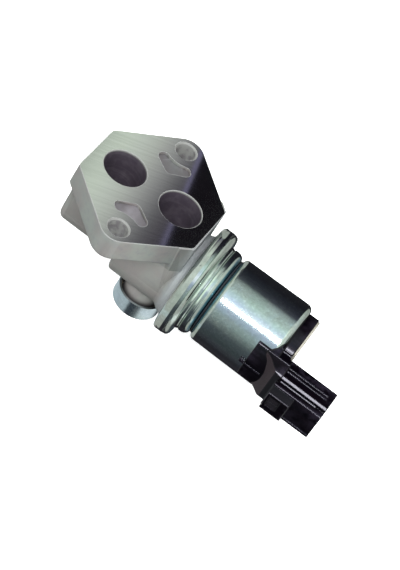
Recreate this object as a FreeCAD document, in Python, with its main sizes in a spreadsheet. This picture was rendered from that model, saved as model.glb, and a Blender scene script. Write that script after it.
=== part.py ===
import FreeCAD, Part
import Sketcher
import math
import os

# Idle air control valve.
# Frame: origin at the centre of the mounting face, on the line between the two air ports
# and the line between the two bolt holes. +Z is the mounting face's outward normal, +X runs
# along the solenoid from the housing towards the electrical connector. Millimetres.

os.makedirs("parts", exist_ok=True)
V = FreeCAD.Vector
doc = FreeCAD.newDocument("idle_air_control_valve")

# ---------------------------------------------------------------- driving dimensions
SIZES = [
    ("axis_depth", 26.1),            # solenoid axis below the mounting face
    # mounting flange
    ("flange_flat_half", 27.2), ("flange_side_y", 13.23), ("flange_apex_y", 38.24),
    ("corner_1_x", 26.99), ("corner_1_y", -13.34), ("corner_2_x", 27.57), ("corner_2_y", 13.43),
    ("corner_3_x", 0.9), ("corner_3_y", 38.25), ("corner_4_x", -26.78), ("corner_4_y", 13.45),
    ("corner_5_x", -27.48), ("corner_5_y", -13.65), ("corner_6_x", -0.51), ("corner_6_y", -38.45),
    ("flange_thick", 11.3), ("ear_radius", 7.5), ("side_corner_radius", 2.6),
    ("flange_under_radius", 1.5), ("face_edge_break", 0.22),
    ("bolt_y", 28.44), ("bolt_hole_radius", 4.2), ("bolt_rim_radius", 4.8), ("bolt_rim_depth", 0.6),
    ("port_x", 13.17), ("port_radius", 9.0), ("port_straight", 12.0), ("port_core_radius", 7.6),
    ("port_core_depth", 27.0), ("port_rim_break", 0.28),
    ("recess_depth", 1.3),
    # lower casting
    ("left_block_radius", 11.2), ("left_block_end", -25.45), ("left_block_top_half", 12.75),
    ("left_foot_y", 11.138), ("left_foot_z", -27.267), ("left_end_radius", 2.6),
    ("right_block_radius", 16.1), ("right_block_end", 2.3), ("right_block_top_half", 17.55),
    ("right_foot_y", 16.012), ("right_foot_z", -27.783), ("right_end_radius", 1.7),
    ("block_top_z", -6.0), ("block_reach", 27.4),
    ("cone_start", 24.3), ("cone_end", 28.4), ("neck_radius", 18.2),
    ("lip_radius", 21.9), ("lip_start", 30.9), ("lip_end", 33.0),
    ("left_chamber_radius", 7.4), ("left_chamber_start", -20.5),
    ("right_chamber_radius", 11.0), ("right_chamber_start", 5.4),
    ("seat_bore_radius", 8.2), ("seat_bore_start", -1.0), ("seat_hole_radius", 6.2),
    ("shaft_radius", 2.0), ("bush_bore_radius", 2.05), ("bush_radius", 3.2),
    ("front_bush_start", -24.0), ("front_bush_end", -18.0),
    # vent boss
    ("vent_x", 17.9), ("vent_boss_radius", 7.8), ("vent_boss_end", -50.0), ("vent_stem_radius", 3.0),
    ("cup_radius", 10.1), ("cup_wall", 0.9), ("cup_rim_z", -46.7), ("cup_end_z", -54.3),
    ("vent_hole_radius", 1.2), ("filter_radius", 9.2),
    # collar, spacer, can
    ("collar_start", 30.1), ("collar_end", 37.3), ("collar_radius", 23.9),
    ("plate_end", 34.8), ("spacer_flange_end", 35.8), ("spacer_radius", 19.15), ("spacer_wall", 1.4),
    ("spacer_end", 43.3), ("spacer_hole_radius", 11.6),
    ("can_start", 44.0), ("can_end", 76.85), ("can_front_radius", 18.85), ("can_rear_radius", 19.17),
    ("can_wall", 1.2), ("can_lip_radius", 16.45), ("can_hole_radius", 8.05),
    # magnet parts
    ("sleeve_radius", 8.0), ("sleeve_bore", 7.42), ("armature_radius", 7.36),
    ("bobbin_start", 45.2), ("bobbin_end", 70.8), ("bobbin_flange_radius", 16.9), ("bobbin_tube_radius", 9.4),
    ("winding_radius", 16.0),
    ("yoke_end", 73.2),
    # moulding
    ("disc_radius", 16.5), ("disc_end", 81.35), ("end_disc_end", 82.2),
    ("shell_start", 82.0), ("mouth_x", 104.1), ("shell_back_y", -11.3), ("shell_front_y", -25.0),
    ("shell_top_z", -17.9), ("shell_low_z", -35.35), ("shell_wall", 1.5), ("shell_floor", 85.0),
    ("saddle_radius", 20.2), ("saddle_start", 67.7), ("saddle_top_z", -15.3), ("saddle_low_z", -34.25),
    ("neck_low_z", -33.7), ("neck_front_y", -22.9),
    ("pin_x_end", 99.0), ("pin_pitch", 6.4), ("pin_width", 2.4), ("pin_thick", 0.8),
    ("travel", 4.0),
]
sheet = doc.addObject("Spreadsheet::Sheet", "dims")
VAL = {}
for n, (alias, value) in enumerate(SIZES, start=1):
    sheet.set("A%d" % n, alias)
    sheet.set("B%d" % n, repr(value))
    sheet.setAlias("B%d" % n, alias)
    VAL[alias] = value
doc.recompute()


class Dim:
    """A length that carries its value and the sheet expression it comes from."""

    def __init__(self, value, text):
        self.value = float(value)
        self.text = text

    @staticmethod
    def of(x):
        return x if isinstance(x, Dim) else Dim(x, repr(float(x)))

    def __add__(self, o):
        o = Dim.of(o)
        return Dim(self.value + o.value, "(%s + %s)" % (self.text, o.text))

    def __radd__(self, o):
        return Dim.of(o) + self

    def __sub__(self, o):
        o = Dim.of(o)
        return Dim(self.value - o.value, "(%s - %s)" % (self.text, o.text))

    def __rsub__(self, o):
        return Dim.of(o) - self

    def __mul__(self, o):
        o = Dim.of(o)
        return Dim(self.value * o.value, "(%s * %s)" % (self.text, o.text))

    def __rmul__(self, o):
        return self * o

    def __truediv__(self, o):
        o = Dim.of(o)
        return Dim(self.value / o.value, "(%s / %s)" % (self.text, o.text))

    def __neg__(self):
        return Dim(-self.value, "(-%s)" % self.text)


class Sizes:
    def __getattr__(self, name):
        return Dim(VAL[name], "dims.%s" % name)


D = Sizes()


def bind(obj, prop, x):
    x = Dim.of(x)
    if x.text.find("dims.") >= 0:
        obj.setExpression(prop, x.text)
    else:
        setattr(obj, prop, x.value)


# ---------------------------------------------------------------- sketch helpers
def origin_plane(body, role):
    for f in body.Origin.OriginFeatures:
        if f.Role == role:
            return f
    raise RuntimeError("no plane " + role)


def pin_point(sk, geo, pos, x, y):
    """Locks one end of a line to the coordinates x, y through driven constraints."""
    x = Dim.of(x)
    y = Dim.of(y)
    if abs(x.value) < 1e-9:
        sk.addConstraint(Sketcher.Constraint("PointOnObject", geo, pos, -2))
    else:
        k = sk.addConstraint(Sketcher.Constraint("DistanceX", -1, 1, geo, pos, x.value))
        if x.text.find("dims.") >= 0:
            sk.setExpression("Constraints[%d]" % k, x.text)
    if abs(y.value) < 1e-9:
        sk.addConstraint(Sketcher.Constraint("PointOnObject", geo, pos, -1))
    else:
        k = sk.addConstraint(Sketcher.Constraint("DistanceY", -1, 1, geo, pos, y.value))
        if y.text.find("dims.") >= 0:
            sk.setExpression("Constraints[%d]" % k, y.text)


def polygon(sk, pts):
    """Closed outline of straight lines, every corner bound to its own pair of sizes."""
    pts = [(Dim.of(a), Dim.of(b)) for a, b in pts]
    n = len(pts)
    first = len(sk.Geometry)
    for i in range(n):
        a = pts[i]
        b = pts[(i + 1) % n]
        sk.addGeometry(Part.LineSegment(V(a[0].value, a[1].value, 0), V(b[0].value, b[1].value, 0)), False)
    for i in range(n):
        sk.addConstraint(Sketcher.Constraint("Coincident", first + i, 2, first + (i + 1) % n, 1))
    for i in range(n):
        pin_point(sk, first + i, 1, pts[i][0], pts[i][1])


def circle(sk, x, y, r):
    x, y, r = Dim.of(x), Dim.of(y), Dim.of(r)
    g = sk.addGeometry(Part.Circle(V(x.value, y.value, 0), V(0, 0, 1), r.value), False)
    k = sk.addConstraint(Sketcher.Constraint("Radius", g, r.value))
    if r.text.find("dims.") >= 0:
        sk.setExpression("Constraints[%d]" % k, r.text)
    pin_point(sk, g, 3, x, y)
    return g


def free_sketch(name, plane, offset=0.0):
    """Sketch on a plane of the part frame: XY, XZ or YZ, moved along its normal."""
    sk = doc.addObject("Sketcher::SketchObject", name)
    rot = {"XY": FreeCAD.Rotation(), "XZ": FreeCAD.Rotation(V(1, 0, 0), 90),
           "YZ": FreeCAD.Rotation(V(1, 1, 1), 120)}[plane]
    base = {"XY": V(0, 0, offset), "XZ": V(0, -offset, 0), "YZ": V(offset, 0, 0)}[plane]
    sk.Placement = FreeCAD.Placement(base, rot)
    return sk


def extrude(name, sk, direction, length):
    e = doc.addObject("Part::Extrusion", name)
    e.Base = sk
    e.DirMode = "Custom"
    e.Dir = direction
    e.Solid = True
    bind(e, "LengthFwd", length)
    return e


def turned(label, pts, about="X", place=None):
    """Body turned from a closed outline of (along, radius) corners about X on the solenoid
    axis, or about a vertical line."""
    body = doc.addObject("PartDesign::Body", label)
    body.Label = label
    sk = body.newObject("Sketcher::SketchObject", label + "_outline")
    sk.AttachmentSupport = [(origin_plane(body, "XZ_Plane"), "")]
    sk.MapMode = "FlatFace"
    if about == "X":
        polygon(sk, pts)
    else:
        polygon(sk, [(r, a) for a, r in pts])
    doc.recompute()
    rev = body.newObject("PartDesign::Revolution", label + "_turn")
    rev.Profile = sk
    rev.ReferenceAxis = (sk, ["H_Axis" if about == "X" else "V_Axis"])
    rev.Angle = 360
    body.Tip = rev
    if about == "X" and place is None:
        body.setExpression(".Placement.Base.z", "-dims.axis_depth")
    elif place is not None:
        for key, value in zip(("x", "y", "z"), place):
            value = Dim.of(value)
            if value.text.find("dims.") >= 0:
                body.setExpression(".Placement.Base." + key, value.text)
            elif key == "x":
                body.Placement.Base.x = value.value
            elif key == "y":
                body.Placement.Base.y = value.value
            else:
                body.Placement.Base.z = value.value
    doc.recompute()
    return body


def ring_edges(shape, tests):
    """Names of circular edges whose centre x (body frame) and radius match a test."""
    out = []
    for i, e in enumerate(shape.Edges, start=1):
        c = e.Curve
        if not hasattr(c, "Radius") or not hasattr(c, "Center"):
            continue
        for x, r in tests:
            if abs(c.Center.x - x) < 0.02 and abs(c.Radius - r) < 0.02:
                out.append("Edge%d" % i)
                break
    return out


def ring_edges_z(shape, tests):
    out = []
    for i, e in enumerate(shape.Edges, start=1):
        c = e.Curve
        if not hasattr(c, "Radius") or not hasattr(c, "Center"):
            continue
        for z, r in tests:
            if abs(c.Center.z - z) < 0.02 and abs(c.Radius - r) < 0.02:
                out.append("Edge%d" % i)
                break
    return out


def round_body(body, tests, radius, name, upright=False):
    """Rounds the ring edges of a turned body that match the (position, radius) tests."""
    tip = body.Tip
    names = (ring_edges_z if upright else ring_edges)(tip.Shape, tests)
    if not names:
        raise RuntimeError("no edge to round in " + body.Label)
    f = body.newObject("PartDesign::Fillet", name)
    f.Base = (tip, names)
    bind(f, "Radius", radius)
    body.Tip = f
    doc.recompute()
    return f


def primitive(kind, name, **sizes):
    o = doc.addObject(kind, name)
    for key, value in sizes.items():
        bind(o, key, value)
    return o


def set_place(o, x, y, z, rot=None):
    o.Placement = FreeCAD.Placement(V(Dim.of(x).value, Dim.of(y).value, Dim.of(z).value),
                                    rot if rot is not None else FreeCAD.Rotation())
    for key, value in zip(("x", "y", "z"), (x, y, z)):
        value = Dim.of(value)
        if value.text.find("dims.") >= 0:
            o.setExpression(".Placement.Base." + key, value.text)


ALONG_X = FreeCAD.Rotation(V(0, 1, 0), 90)


def box(name, x0, x1, y0, y1, z0, z1):
    x0, x1, y0, y1, z0, z1 = [Dim.of(v) for v in (x0, x1, y0, y1, z0, z1)]
    o = primitive("Part::Box", name, Length=x1 - x0, Width=y1 - y0, Height=z1 - z0)
    set_place(o, x0, y0, z0)
    return o


def rod(name, x0, x1, radius, y=0.0, z=None):
    """Cylinder along X, on the solenoid axis unless z is given."""
    x0, x1 = Dim.of(x0), Dim.of(x1)
    o = primitive("Part::Cylinder", name, Radius=radius, Height=x1 - x0)
    set_place(o, x0, y, -D.axis_depth if z is None else z, ALONG_X)
    return o


def post(name, x, y, z0, z1, radius):
    z0, z1 = Dim.of(z0), Dim.of(z1)
    o = primitive("Part::Cylinder", name, Radius=radius, Height=z1 - z0)
    set_place(o, x, y, z0)
    return o


def fuse(name, items):
    o = doc.addObject("Part::MultiFuse", name)
    o.Shapes = items
    o.Refine = True
    return o


def common(name, items):
    o = doc.addObject("Part::MultiCommon", name)
    o.Shapes = items
    return o


def cut(name, base, tool):
    o = doc.addObject("Part::Cut", name)
    o.Base = base
    o.Tool = tool
    o.Refine = True
    return o


def round_edges(name, base, radius, pick, kind="Part::Fillet"):
    """Fillet or chamfer on the edges that pick(edge) accepts."""
    doc.recompute()
    chosen = [(i, float(radius), float(radius)) for i, e in enumerate(base.Shape.Edges, start=1) if pick(e)]
    if not chosen:
        raise RuntimeError("no edges for " + name)
    f = doc.addObject(kind, name)
    f.Base = base
    f.Edges = chosen
    doc.recompute()
    return f


def zspan(e):
    b = e.BoundBox
    return b.ZMin, b.ZMax


# ---------------------------------------------------------------- housing
# Plan outline of the mounting flange: a hexagon whose two apexes carry the bolt ears.
outline = [(D.corner_1_x, D.corner_1_y), (D.corner_2_x, D.corner_2_y), (D.corner_3_x, D.corner_3_y),
           (D.corner_4_x, D.corner_4_y), (D.corner_5_x, D.corner_5_y), (D.corner_6_x, D.corner_6_y)]
sk = free_sketch("flange_outline", "XY")
polygon(sk, outline)
slab = extrude("flange_slab", sk, V(0, 0, -1), D.flange_thick)
doc.recompute()
ears = round_edges("flange_ears", slab, VAL["ear_radius"],
                   lambda e: e.BoundBox.ZLength > 5 and e.BoundBox.XLength < 0.01 and abs(e.BoundBox.XMin) < 2.0)
corners = round_edges("flange_corners", ears, VAL["side_corner_radius"],
                      lambda e: e.BoundBox.ZLength > 5 and abs(e.BoundBox.XMin) > 26.0
                      and e.BoundBox.XLength < 0.01 and e.BoundBox.YLength < 0.01)
under = round_edges("flange_under", corners, VAL["flange_under_radius"],
                    lambda e: e.BoundBox.ZMax < -VAL["flange_thick"] + 0.01)
flange = round_edges("flange_face_edge", under, VAL["face_edge_break"],
                     lambda e: e.BoundBox.ZMin > -0.01, "Part::Chamfer")


def channel(name, x_start, x_end, half_top, z_top, foot_y, foot_z, radius):
    """U-shaped length of casting: round bottom about the solenoid axis, drafted side walls."""
    sk = free_sketch(name + "_section", "YZ")
    sk.setExpression(".Placement.Base.x", Dim.of(x_start).text)
    half_top, z_top, foot_y, foot_z = [Dim.of(v) for v in (half_top, z_top, foot_y, foot_z)]
    a = (half_top.value, z_top.value)
    b = (foot_y.value, foot_z.value)
    low = (0.0, -VAL["axis_depth"] - Dim.of(radius).value)
    sk.addGeometry(Part.LineSegment(V(-a[0], a[1], 0), V(a[0], a[1], 0)), False)
    sk.addGeometry(Part.LineSegment(V(a[0], a[1], 0), V(b[0], b[1], 0)), False)
    arc = Part.Arc(V(b[0], b[1], 0), V(low[0], low[1], 0), V(-b[0], b[1], 0))
    sk.addGeometry(arc, False)
    sk.addGeometry(Part.LineSegment(V(-b[0], b[1], 0), V(-a[0], a[1], 0)), False)
    pin_point(sk, 0, 1, -half_top, z_top)
    pin_point(sk, 0, 2, half_top, z_top)
    sk.addConstraint(Sketcher.Constraint("Coincident", 0, 2, 1, 1))
    sk.addConstraint(Sketcher.Constraint("Coincident", 0, 1, 3, 2))
    # the arc is stored counter-clockwise: find which end lies on the +Y side
    p1 = sk.getPoint(2, 1)
    right, left = (1, 2) if p1.x > 0 else (2, 1)
    sk.addConstraint(Sketcher.Constraint("Coincident", 1, 2, 2, right))
    sk.addConstraint(Sketcher.Constraint("Coincident", 3, 1, 2, left))
    pin_point(sk, 1, 2, foot_y, foot_z)
    pin_point(sk, 3, 1, -foot_y, foot_z)
    k = sk.addConstraint(Sketcher.Constraint("Radius", 2, Dim.of(radius).value))
    sk.setExpression("Constraints[%d]" % k, Dim.of(radius).text)
    doc.recompute()
    return extrude(name, sk, V(1, 0, 0), Dim.of(x_end) - Dim.of(x_start))


left_raw = channel("left_channel", D.left_block_end, Dim.of(4.0), D.left_block_top_half, D.block_top_z,
                   D.left_foot_y, D.left_foot_z, D.left_block_radius)
right_raw = channel("right_channel", D.right_block_end, D.block_reach, D.right_block_top_half, Dim.of(-0.15),
                    D.right_foot_y, D.right_foot_z, D.right_block_radius)
doc.recompute()
left_block = round_edges("left_block", left_raw, VAL["left_end_radius"],
                         lambda e: abs(e.BoundBox.XMin - VAL["left_block_end"]) < 0.01
                         and e.BoundBox.XLength < 0.01 and e.BoundBox.ZMin < VAL["block_top_z"] - 1)
right_round = round_edges("right_round", right_raw, VAL["right_end_radius"],
                          lambda e: abs(e.BoundBox.XMin - VAL["right_block_end"]) < 0.01
                          and e.BoundBox.XLength < 0.01 and e.BoundBox.ZMin < -2)
# The flange's outline carried downwards trims the right-hand channel into two corner flats.
sk = free_sketch("corner_trim_outline", "XY")
grow = 0.35
polygon(sk, [(D.corner_1_x + grow, D.corner_1_y - grow), (D.corner_2_x + grow, D.corner_2_y + grow),
             (D.corner_3_x, D.corner_3_y + grow * 1.36), (-10.0, D.corner_3_y), (-10.0, D.corner_6_y),
             (D.corner_6_x, D.corner_6_y - grow * 1.36)])
trim = extrude("corner_trim", sk, V(0, 0, -1), Dim.of(50.0))
right_block = common("right_block", [right_round, trim])

# Round neck and lip that the solenoid is clamped to.
sk = free_sketch("neck_outline", "XZ")
polygon(sk, [(20.0, 0.0), (20.0, D.right_block_radius - 0.6), (D.cone_start, D.right_block_radius - 0.35),
             (D.cone_start + 1.5, D.right_block_radius + 0.55), (D.cone_end - 0.9, D.neck_radius - 0.25),
             (D.cone_end, D.neck_radius), (29.2, D.neck_radius + 0.35), (30.05, D.neck_radius + 1.9), (30.05, D.neck_radius - 0.05),
             (D.lip_start, D.neck_radius - 0.05), (D.lip_start, D.lip_radius),
             (D.lip_end, D.lip_radius), (D.lip_end, 0.0)])
neck = doc.addObject("Part::Revolution", "neck")
neck.Source = sk
neck.Axis = V(1, 0, 0)
neck.Base = V(0, 0, 0)
neck.Angle = 360
neck.Solid = True
neck.Placement.Base.z = -VAL["axis_depth"]
neck.setExpression(".Placement.Base.z", "-dims.axis_depth")

boss = post("vent_boss", D.vent_x, 0.0, D.vent_boss_end, -36.0, D.vent_boss_radius)
stem = post("vent_stem", D.vent_x, 0.0, D.cup_end_z, -40.0, D.vent_stem_radius)
doc.recompute()
casting = fuse("casting", [flange, left_block, right_block, neck, boss, stem])
doc.recompute()

# Everything removed from the casting.
cutters = []
for side, tag in ((-1, "a"), (1, "b")):
    px = side * D.port_x
    cutters.append(post("port_straight_" + tag, px, 0.0, -D.port_straight, 1.0, D.port_radius))
    cone = primitive("Part::Cone", "port_core_" + tag, Radius1=D.port_core_radius, Radius2=D.port_radius,
                     Height=D.port_core_depth - D.port_straight)
    set_place(cone, px, 0.0, -D.port_core_depth)
    cutters.append(cone)
    rim = primitive("Part::Cone", "port_rim_" + tag, Radius1=D.port_radius, Radius2=D.port_radius + D.port_rim_break,
                    Height=D.port_rim_break)
    set_place(rim, px, 0.0, -D.port_rim_break)
    cutters.append(rim)
for side, tag in ((-1, "near"), (1, "far")):
    by = side * D.bolt_y
    cutters.append(post("bolt_hole_" + tag, 0.0, by, -D.flange_thick - 2.0, 1.0, D.bolt_hole_radius))
    sink = primitive("Part::Cone", "bolt_rim_" + tag, Radius1=D.bolt_hole_radius, Radius2=D.bolt_rim_radius,
                     Height=D.bolt_rim_depth)
    set_place(sink, 0.0, by, -D.bolt_rim_depth)
    cutters.append(sink)


def recess(name, side):
    """Shallow cast recess between a bolt ear and the ports, hollowed around the ear."""
    sk = free_sketch(name + "_outline", "XY", -VAL["recess_depth"])
    sk.setExpression(".Placement.Base.z", "-dims.recess_depth")
    s = float(side)
    by = VAL["bolt_y"]
    # straight flanks to a blunt apex, rounded tips, concave side about the bolt hole
    geo = [
        Part.LineSegment(V(-6.3, s * 16.15, 0), V(-1.5, s * 12.7, 0)),
        Part.Arc(V(-1.5, s * 12.7, 0), V(0.0, s * 12.2, 0), V(1.5, s * 12.7, 0)),
        Part.LineSegment(V(1.5, s * 12.7, 0), V(6.3, s * 16.15, 0)),
        Part.Arc(V(6.3, s * 16.15, 0), V(7.5, s * 18.3, 0), V(6.75, s * 20.1, 0)),
        Part.Arc(V(6.75, s * 20.1, 0), V(6.0, s * 20.85, 0), V(4.75, s * 21.1, 0)),
        Part.Arc(V(4.75, s * 21.1, 0), V(0.0, s * (by - 8.4), 0), V(-4.75, s * 21.1, 0)),
        Part.Arc(V(-4.75, s * 21.1, 0), V(-6.0, s * 20.85, 0), V(-6.75, s * 20.1, 0)),
        Part.Arc(V(-6.75, s * 20.1, 0), V(-7.5, s * 18.3, 0), V(-6.3, s * 16.15, 0)),
    ]
    for g in geo:
        sk.addGeometry(g, False)
    for i, g in enumerate(geo):
        sk.addConstraint(Sketcher.Constraint("Block", i))
    doc.recompute()
    return extrude(name, sk, V(0, 0, 1), D.recess_depth + 1.0)


cutters.append(recess("recess_near", -1))
cutters.append(recess("recess_far", 1))
cutters.append(rod("left_chamber", D.left_chamber_start, Dim.of(0.0), D.left_chamber_radius))
cutters.append(rod("seat_throat", -2.0, D.right_chamber_start + 1.0, D.seat_hole_radius))
cutters.append(rod("seat_bore", D.seat_bore_start, D.right_chamber_start + 1.0, D.seat_bore_radius))
cutters.append(rod("right_chamber", D.right_chamber_start, D.lip_end + 1.0, D.right_chamber_radius))
cutters.append(rod("bush_bore", D.front_bush_start, D.left_chamber_start + 1.0, D.bush_radius))
cutters.append(post("vent_hole", D.vent_x, 5.2, D.vent_boss_end - 1.0, -35.0, D.vent_hole_radius))
groove_out = rod("seal_groove_outer", D.lip_end - 1.3, D.lip_end + 0.5, Dim.of(18.6))
groove_in = rod("seal_groove_inner", D.lip_end - 1.4, D.lip_end + 0.6, Dim.of(15.6))
cutters.append(cut("seal_groove", groove_out, groove_in))
doc.recompute()
hollows = fuse("hollows", cutters)
hollows.Refine = False
housing = cut("housing", casting, hollows)
housing.Label = "housing"
doc.recompute()

PARTS = [housing]

# ---------------------------------------------------------------- valve train
PARTS.append(turned("valve_seat", [
    (D.seat_bore_start, D.seat_hole_radius + 0.3), (D.seat_bore_start + 0.3, D.seat_hole_radius),
    (D.right_chamber_start - 0.6, D.seat_hole_radius), (D.right_chamber_start, D.seat_hole_radius + 0.6),
    (D.right_chamber_start, D.seat_bore_radius), (D.seat_bore_start, D.seat_bore_radius)]))
seat = D.right_chamber_start
PARTS.append(turned("poppet_valve", [
    (seat - 0.55, D.shaft_radius), (seat - 0.55, D.seat_hole_radius - 0.15), (seat + 0.35, D.seat_hole_radius + 0.78),
    (seat + 0.35, 8.0), (seat + 1.7, 8.0), (seat + 1.9, 7.8), (seat + 1.9, 4.2), (seat + 3.6, 3.7),
    (seat + 3.6, D.shaft_radius)]))
PARTS.append(turned("retaining_ring", [
    (seat + 3.65, D.shaft_radius - 0.3), (seat + 3.65, 3.9), (seat + 4.25, 3.9), (seat + 4.25, D.shaft_radius - 0.3)]))
PARTS.append(turned("valve_shaft", [
    (-23.4, 0.0), (-23.4, D.shaft_radius - 0.4), (-23.0, D.shaft_radius), (seat + 3.65, D.shaft_radius),
    (seat + 3.65, D.shaft_radius - 0.3), (seat + 4.25, D.shaft_radius - 0.3), (seat + 4.25, D.shaft_radius),
    (54.6, D.shaft_radius), (55.0, D.shaft_radius - 0.4), (55.0, 0.0)]))
PARTS.append(turned("front_bush", [
    (D.front_bush_start, D.bush_bore_radius), (D.front_bush_start, D.bush_radius),
    (D.front_bush_end, D.bush_radius), (D.front_bush_end, D.bush_bore_radius)]))
PARTS.append(turned("guide_bush", [
    (33.0, D.bush_bore_radius), (33.0, 3.6), (37.2, 3.6), (37.2, D.bush_bore_radius)]))
PARTS.append(turned("armature", [
    (45.6, D.shaft_radius), (45.6, D.armature_radius - 0.5), (46.1, D.armature_radius), (55.6, D.armature_radius),
    (57.1, D.armature_radius - 1.5), (57.1, 3.2), (55.0, 3.2), (55.0, D.shaft_radius)]))

# Return spring: round wire wound on the shaft between the poppet and the front plate.
helix = doc.addObject("Part::Helix", "spring_path")
helix.Pitch = 4.1
helix.Height = 24.6
helix.Radius = 5.6
helix.Angle = 0
wire = doc.addObject("Part::Circle", "spring_wire")
wire.Radius = 0.45
wire.Placement = FreeCAD.Placement(V(5.6, 0, 0), FreeCAD.Rotation(V(1, 0, 0), 90))
spring = doc.addObject("Part::Sweep", "return_spring")
spring.Label = "return_spring"
spring.Sections = [wire]
spring.Spine = (helix, [])
spring.Solid = True
spring.Frenet = True
spring.Placement = FreeCAD.Placement(V(seat.value + 2.4, 0, -VAL["axis_depth"]), ALONG_X)
doc.recompute()
PARTS.append(spring)

# ---------------------------------------------------------------- clamped joint
seal = primitive("Part::Torus", "joint_seal", Radius1=Dim.of(17.1), Radius2=Dim.of(0.64))
seal.Label = "joint_seal"
set_place(seal, D.lip_end - 0.64, 0.0, -D.axis_depth, ALONG_X)
PARTS.append(seal)

PARTS.append(turned("front_plate", [
    (D.lip_end, 3.6), (D.lip_end, 21.9), (D.plate_end, 21.9), (D.plate_end, D.spacer_hole_radius - 0.2),
    (D.spacer_end, D.spacer_hole_radius - 0.2), (D.spacer_end, D.sleeve_radius), (37.2, D.sleeve_radius),
    (37.2, 3.6)]))
spacer = turned("spacer_cup", [
    (D.plate_end, D.spacer_radius - D.spacer_wall), (D.plate_end, 21.9), (D.spacer_flange_end, 21.9),
    (D.spacer_flange_end, D.spacer_radius), (38.15, D.spacer_radius), (38.55, D.spacer_radius - 0.3),
    (38.9, D.spacer_radius - 0.3), (39.3, D.spacer_radius), (D.spacer_end, D.spacer_radius),
    (D.spacer_end, D.spacer_hole_radius), (D.spacer_end - D.spacer_wall, D.spacer_hole_radius),
    (D.spacer_end - D.spacer_wall, D.spacer_radius - D.spacer_wall)])
round_body(spacer, [(VAL["spacer_end"], VAL["spacer_radius"])], 2.9, "spacer_rear_round")
PARTS.append(spacer)
collar = turned("collar_ring", [
    (D.collar_start, D.neck_radius), (D.collar_start, D.collar_radius), (34.75, D.collar_radius),
    (34.95, D.collar_radius - 0.28), (35.15, D.collar_radius - 0.12), (D.collar_end, D.collar_radius - 0.12),
    (D.collar_end, D.spacer_radius + 0.05), (D.spacer_flange_end, D.spacer_radius + 0.05), (D.spacer_flange_end, D.lip_radius),
    (D.lip_start, D.lip_radius), (D.lip_start, D.neck_radius)])
round_body(collar, [(VAL["collar_start"], VAL["collar_radius"])], 1.6, "collar_front_round")
round_body(collar, [(VAL["collar_end"], VAL["collar_radius"] - 0.12)], 2.05, "collar_rear_round")
PARTS.append(collar)
PARTS.append(turned("can_seal", [
    (D.spacer_end, 12.6), (D.spacer_end, 16.6), (D.spacer_end + 0.15, 17.0), (D.can_start - 0.15, 17.0),
    (D.can_start, 16.6), (D.can_start, 12.6)]))

# ---------------------------------------------------------------- solenoid
PARTS.append(turned("guide_sleeve", [
    (37.25, D.sleeve_bore), (37.25, D.sleeve_radius), (D.bobbin_end + 0.2, D.sleeve_radius),
    (D.bobbin_end + 0.2, D.sleeve_bore)]))
can = turned("can_shell", [
    (D.can_start, D.can_hole_radius), (D.can_start, D.can_front_radius), (73.6, D.can_rear_radius),
    (D.can_end, D.can_rear_radius), (D.can_end, D.can_lip_radius), (D.can_end - D.can_wall, D.can_lip_radius),
    (73.6, D.can_rear_radius - D.can_wall), (D.can_start + D.can_wall, D.can_front_radius - D.can_wall),
    (D.can_start + D.can_wall, D.can_hole_radius)])
round_body(can, [(VAL["can_start"], VAL["can_front_radius"])], 2.1, "can_front_round")
round_body(can, [(VAL["can_end"], VAL["can_rear_radius"])], 2.6, "can_rear_round")
# Window in the rear edge of the can, where the connector's neck comes out.
window = box("can_window", D.saddle_start + 1.4, D.can_end + 1.0, -24.0, -10.0, D.saddle_low_z + 1.2, D.saddle_top_z - 1.2)
can_cut = cut("solenoid_can", can, window)
can_cut.Label = "solenoid_can"
PARTS.append(can_cut)
PARTS.append(turned("coil_bobbin", [
    (D.bobbin_start, D.sleeve_radius + 0.02), (D.bobbin_start, D.bobbin_flange_radius), (D.bobbin_start + 1.3, D.bobbin_flange_radius),
    (D.bobbin_start + 1.3, D.bobbin_tube_radius), (D.bobbin_end - 1.3, D.bobbin_tube_radius),
    (D.bobbin_end - 1.3, D.bobbin_flange_radius), (D.bobbin_end, D.bobbin_flange_radius), (D.bobbin_end, D.sleeve_radius + 0.02)]))
PARTS.append(turned("coil_winding", [
    (D.bobbin_start + 1.35, D.bobbin_tube_radius + 0.02), (D.bobbin_start + 1.35, D.winding_radius - 0.3),
    (D.bobbin_start + 1.65, D.winding_radius), (D.bobbin_end - 1.65, D.winding_radius),
    (D.bobbin_end - 1.35, D.winding_radius - 0.3), (D.bobbin_end - 1.35, D.bobbin_tube_radius + 0.02)]))
PARTS.append(turned("rear_yoke_plate", [
    (D.bobbin_end + 0.25, D.sleeve_bore), (D.bobbin_end + 0.25, 17.3), (D.yoke_end, 17.3), (D.yoke_end, D.sleeve_bore)]))
PARTS.append(turned("pole_core", [
    (61.6, 0.0), (61.6, 3.0), (61.6, D.sleeve_bore - 1.6), (63.1, D.sleeve_bore - 0.01), (D.yoke_end, D.sleeve_bore - 0.01),
    (D.yoke_end, 9.2), (D.yoke_end + 0.9, 8.6), (D.yoke_end + 0.9, 0.0)]))
PARTS.append(turned("stop_shim", [
    (61.2, 0.0), (61.2, 5.4), (61.6, 5.4), (61.6, 0.0)]))

# ---------------------------------------------------------------- connector moulding
# Round end part: a plug inside the can's mouth and the disc outside it.
sk = free_sketch("moulding_outline", "XZ")
polygon(sk, [(D.yoke_end + 0.02, 9.3), (D.yoke_end + 0.02, 17.2), (73.6, 17.2), (74.9, 16.4), (D.can_end + 0.1, 16.4), (D.can_end + 0.1, D.disc_radius),
             (D.disc_end - 0.25, D.disc_radius), (D.disc_end, D.disc_radius - 0.25), (D.disc_end, 0.0),
             (D.yoke_end + 0.95, 0.0), (D.yoke_end + 0.95, 9.3)])
plug = doc.addObject("Part::Revolution", "moulding_round")
plug.Source = sk
plug.Axis = V(1, 0, 0)
plug.Base = V(0, 0, 0)
plug.Angle = 360
plug.Solid = True
plug.setExpression(".Placement.Base.z", "-dims.axis_depth")

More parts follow.
